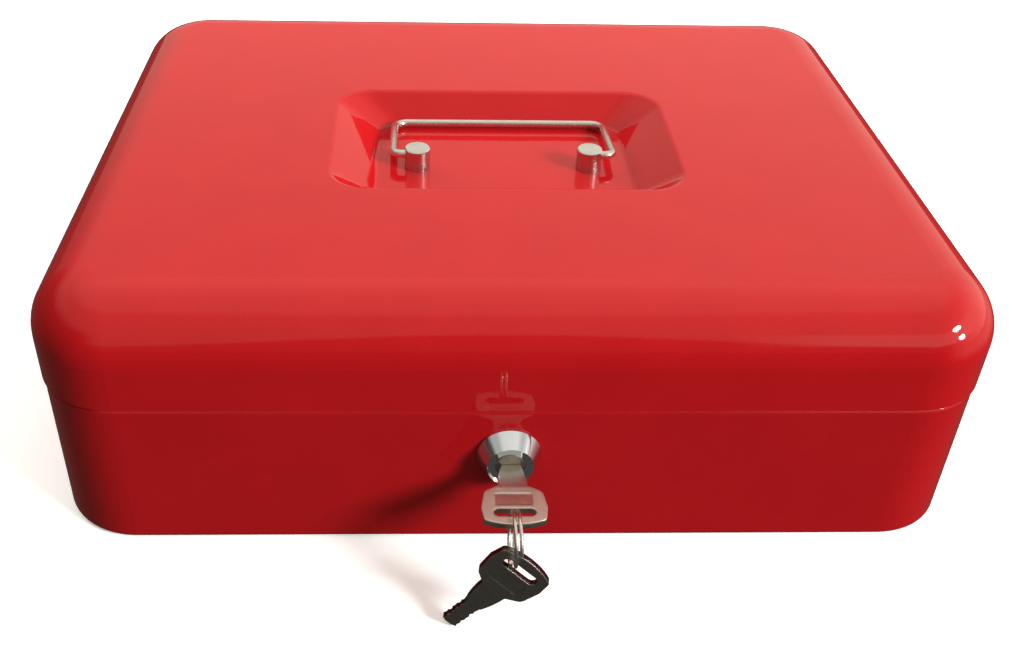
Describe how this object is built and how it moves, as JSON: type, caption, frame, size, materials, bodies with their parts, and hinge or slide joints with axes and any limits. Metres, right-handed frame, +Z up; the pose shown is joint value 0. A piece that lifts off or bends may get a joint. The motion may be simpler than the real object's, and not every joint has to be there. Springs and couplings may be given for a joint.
{
  "type": "cash box",
  "caption": "Drawn steel cash box with a hinged lid, a folding wire bail in a recessed well, a cam lock with key, a spare key on a split ring and a lift-out coin tray.",
  "frame": {"origin": "centre of the flat base, on its underside", "axes": "+X along the length to the right of someone facing the lock, +Y from the lock to the hinges, +Z up"},
  "size_m": [0.3, 0.2846, 0.09],
  "materials": {
    "red_enamel": "gloss",
    "zinc_steel": "satin",
    "satin_nickel": "satin",
    "nickel_wire": "polished",
    "lock_chrome": "polished",
    "plug_nickel": "satin",
    "wafer_brass": "satin",
    "spring_steel": "satin",
    "black_plastic": "matte",
    "key_nickel": "satin"
  },
  "bodies": {
    "case": {"body_shell": "red_enamel", "hinge_body_leaf_left": "zinc_steel", "hinge_body_leaf_right": "zinc_steel", "hinge_pin_left": "zinc_steel", "hinge_pin_right": "zinc_steel", "hinge_body_rivets": "zinc_steel", "lock_housing": "lock_chrome", "lock_washer": "zinc_steel", "lock_nut": "zinc_steel"},
    "lid": {"lid_shell": "red_enamel", "hinge_lid_leaf_left": "zinc_steel", "hinge_lid_leaf_right": "zinc_steel", "hinge_lid_rivets": "zinc_steel", "lid_catch": "zinc_steel", "handle_post_left": "satin_nickel", "handle_post_right": "satin_nickel", "handle_post_washers": "zinc_steel", "handle_post_screws": "zinc_steel"},
    "handle": {"handle_bail": "nickel_wire"},
    "plug": {"lock_plug": "plug_nickel", "lock_wafers": "wafer_brass", "lock_wafer_springs": "spring_steel", "lock_cam": "zinc_steel", "cam_screw": "zinc_steel"},
    "key": {"key_in_lock": "key_nickel"},
    "ring": {"key_ring": "nickel_wire"},
    "spare": {"spare_key": "key_nickel"},
    "tray": {"coin_tray": "black_plastic"}
  },
  "joints": [
    {"name": "lid_swing", "type": "hinge", "parent": "case", "child": "lid", "pos_m": [0, 0.12, 0.055], "axis": [-1, 0, 0], "range_deg": [0, 105]},
    {"name": "handle_swing", "type": "hinge", "parent": "lid", "child": "handle", "pos_m": [0, -0.0103, 0.0844], "axis": [1, 0, 0], "range_deg": [0, 170]},
    {"name": "lock_turn", "type": "hinge", "parent": "case", "child": "plug", "pos_m": [-0.0025, -0.1194, 0.0367], "axis": [0, 1, 0], "range_deg": [0, 90]},
    {"name": "key_withdraw", "type": "slide", "parent": "plug", "child": "key", "axis": [0, -1, 0], "range_m": [0, 0.014]},
    {"name": "ring_swing", "type": "hinge", "parent": "key", "child": "ring", "pos_m": [-0.0025, -0.14895, 0.0367], "axis": [-1, 0, 0], "range_deg": [0, 40]},
    {"name": "spare_key_swing", "type": "hinge", "parent": "ring", "child": "spare", "pos_m": [-0.0034, -0.15676, 0.02768], "axis": [0, 1, 0], "range_deg": [0, 30]},
    {"name": "tray_lift", "type": "slide", "parent": "case", "child": "tray", "axis": [0, 0, 1], "range_m": [0, 0.01]}
  ]
}
